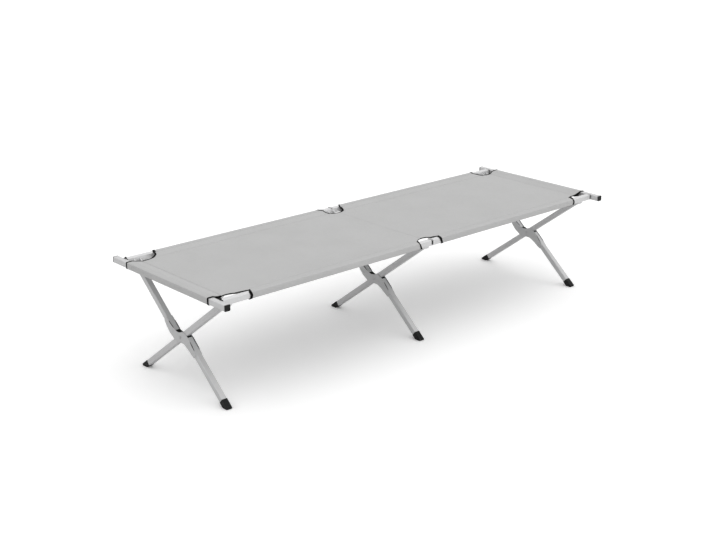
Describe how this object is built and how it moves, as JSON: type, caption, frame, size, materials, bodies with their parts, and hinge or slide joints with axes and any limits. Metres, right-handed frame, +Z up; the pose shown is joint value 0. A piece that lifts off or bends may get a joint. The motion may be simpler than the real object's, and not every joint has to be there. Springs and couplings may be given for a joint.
{
  "type": "folding camp bed",
  "caption": "Folding camp bed: a square-tube frame with crossed leg units, hinged side rails and loose end bars carries a stretched fabric lying surface.",
  "frame": {"origin": "on the floor under the middle of the bed, with the middle leg unit's plane at X = 0", "axes": "+X along the bed, towards the right-hand half; +Y across it, away from the viewer of the picture; +Z up"},
  "size_m": [1.9946, 0.6906, 0.4255],
  "materials": {
    "tube_aluminium": "satin anodised",
    "plate_aluminium": "satin",
    "steel": "zinc plated",
    "black_plastic": "fine grain",
    "foot_rubber": "matte",
    "fabric": "plain weave"
  },
  "bodies": {
    "near_left_rail": {"near_left_rail": "tube_aluminium", "near_left_end_plug": "black_plastic", "near_left_hinge_block": "black_plastic", "near_left_sleeve": "fabric", "near_hinge_pin": "steel", "left_panel": "fabric"},
    "near_right_rail": {"near_right_rail": "tube_aluminium", "near_right_end_plug": "black_plastic", "near_right_hinge_block": "black_plastic", "near_right_sleeve": "fabric", "right_panel": "fabric"},
    "far_left_rail": {"far_left_rail": "tube_aluminium", "far_left_end_plug": "black_plastic", "far_left_hinge_block": "black_plastic", "far_left_sleeve": "fabric", "far_hinge_pin": "steel"},
    "far_right_rail": {"far_right_rail": "tube_aluminium", "far_right_end_plug": "black_plastic", "far_right_hinge_block": "black_plastic", "far_right_sleeve": "fabric"},
    "left_bar": {"left_end_bar": "tube_aluminium", "left_bar_cap_near": "black_plastic", "left_bar_cap_far": "black_plastic"},
    "right_bar": {"right_end_bar": "tube_aluminium", "right_bar_cap_near": "black_plastic", "right_bar_cap_far": "black_plastic"},
    "bracket_near_left": {"bracket_near_left": "steel"},
    "leg_b_left": {"leg_b_left": "tube_aluminium", "foot_far_left": "foot_rubber"},
    "leg_a_left": {"leg_a_upper_left": "tube_aluminium", "leg_a_lower_left": "tube_aluminium", "foot_near_left": "foot_rubber", "plate_left_left": "plate_aluminium", "plate_left_right": "plate_aluminium", "pivot_pin_left": "steel"},
    "bracket_far_left": {"bracket_far_left": "steel"},
    "bracket_near_mid": {"bracket_near_mid": "steel"},
    "leg_b_mid": {"leg_b_mid": "tube_aluminium", "foot_far_mid": "foot_rubber"},
    "leg_a_mid": {"leg_a_upper_mid": "tube_aluminium", "leg_a_lower_mid": "tube_aluminium", "foot_near_mid": "foot_rubber", "plate_mid_left": "plate_aluminium", "plate_mid_right": "plate_aluminium", "pivot_pin_mid": "steel"},
    "bracket_far_mid": {"bracket_far_mid": "steel"},
    "bracket_near_right": {"bracket_near_right": "steel"},
    "leg_b_right": {"leg_b_right": "tube_aluminium", "foot_far_right": "foot_rubber"},
    "leg_a_right": {"leg_a_upper_right": "tube_aluminium", "leg_a_lower_right": "tube_aluminium", "foot_near_right": "foot_rubber", "plate_right_left": "plate_aluminium", "plate_right_right": "plate_aluminium", "pivot_pin_right": "steel"},
    "bracket_far_right": {"bracket_far_right": "steel"}
  },
  "joints": [
    {"name": "mid_fold", "type": "hinge", "parent": "near_left_rail", "child": "near_right_rail", "pos_m": [0.01, -0.291, 0.4205], "axis": [0, -1, 0], "range_deg": [0, 176]},
    {"name": "leg_swing_left", "type": "hinge", "parent": "near_left_rail", "child": "bracket_near_left", "pos_m": [-0.904, -0.291, 0.409], "axis": [0, -1, 0], "range_deg": [0, 90]},
    {"name": "leg_swing_mid", "type": "hinge", "parent": "near_left_rail", "child": "bracket_near_mid", "pos_m": [-0.029, -0.291, 0.409], "axis": [0, 1, 0], "range_deg": [0, 81]},
    {"name": "leg_swing_right", "type": "hinge", "parent": "near_right_rail", "child": "bracket_near_right", "pos_m": [0.904, -0.291, 0.409], "axis": [0, 1, 0], "range_deg": [0, 90]},
    {"name": "width_fold", "type": "hinge", "parent": "bracket_near_left", "child": "leg_b_left", "pos_m": [-0.933, -0.266, 0.3918], "axis": [-1, 0, 0], "range_deg": [0, 50], "deforming": ["left_panel", "right_panel"]},
    {"name": "crossing_left", "type": "hinge", "parent": "leg_b_left", "child": "leg_a_left", "pos_m": [-0.933, 0, 0.1915], "axis": [1, 0, 0], "range_deg": [0, 100]},
    {"name": "far_bracket_left_turn", "type": "hinge", "parent": "leg_a_left", "child": "bracket_far_left", "pos_m": [-0.933, 0.266, 0.3918], "axis": [-1, 0, 0], "range_deg": [0, 50]},
    {"name": "leg_b_mid_turn", "type": "hinge", "parent": "bracket_near_mid", "child": "leg_b_mid", "pos_m": [0, -0.266, 0.3918], "axis": [-1, 0, 0], "range_deg": [0, 50]},
    {"name": "crossing_mid", "type": "hinge", "parent": "leg_b_mid", "child": "leg_a_mid", "pos_m": [0, 0, 0.1915], "axis": [1, 0, 0], "range_deg": [0, 100]},
    {"name": "far_bracket_mid_turn", "type": "hinge", "parent": "leg_a_mid", "child": "bracket_far_mid", "pos_m": [0, 0.266, 0.3918], "axis": [-1, 0, 0], "range_deg": [0, 50]},
    {"name": "leg_b_right_turn", "type": "hinge", "parent": "bracket_near_right", "child": "leg_b_right", "pos_m": [0.933, -0.266, 0.3918], "axis": [-1, 0, 0], "range_deg": [0, 50]},
    {"name": "crossing_right", "type": "hinge", "parent": "leg_b_right", "child": "leg_a_right", "pos_m": [0.933, 0, 0.1915], "axis": [1, 0, 0], "range_deg": [0, 100]},
    {"name": "far_bracket_right_turn", "type": "hinge", "parent": "leg_a_right", "child": "bracket_far_right", "pos_m": [0.933, 0.266, 0.3918], "axis": [-1, 0, 0], "range_deg": [0, 50]},
    {"name": "far_rail_level", "type": "hinge", "parent": "bracket_far_mid", "child": "far_left_rail", "pos_m": [-0.029, 0.291, 0.409], "axis": [0, -1, 0], "range_deg": [0, 81]},
    {"name": "far_mid_fold", "type": "hinge", "parent": "far_left_rail", "child": "far_right_rail", "pos_m": [0.01, 0.291, 0.4205], "axis": [0, -1, 0], "range_deg": [0, 176]},
    {"name": "left_bar_slide", "type": "slide", "parent": "near_left_rail", "child": "left_bar", "axis": [0, -1, 0], "range_m": [0, 0.6]},
    {"name": "right_bar_slide", "type": "slide", "parent": "near_right_rail", "child": "right_bar", "axis": [0, -1, 0], "range_m": [0, 0.6]}
  ],
  "couplings": [
    {"joint": "crossing_left", "follows": "width_fold", "ratio": 2},
    {"joint": "far_bracket_left_turn", "follows": "width_fold", "ratio": 1},
    {"joint": "leg_b_mid_turn", "follows": "width_fold", "ratio": 1},
    {"joint": "crossing_mid", "follows": "width_fold", "ratio": 2},
    {"joint": "far_bracket_mid_turn", "follows": "width_fold", "ratio": 1},
    {"joint": "leg_b_right_turn", "follows": "width_fold", "ratio": 1},
    {"joint": "crossing_right", "follows": "width_fold", "ratio": 2},
    {"joint": "far_bracket_right_turn", "follows": "width_fold", "ratio": 1},
    {"joint": "far_rail_level", "follows": "leg_swing_mid", "ratio": 1},
    {"joint": "far_mid_fold", "follows": "mid_fold", "ratio": 1}
  ]
}
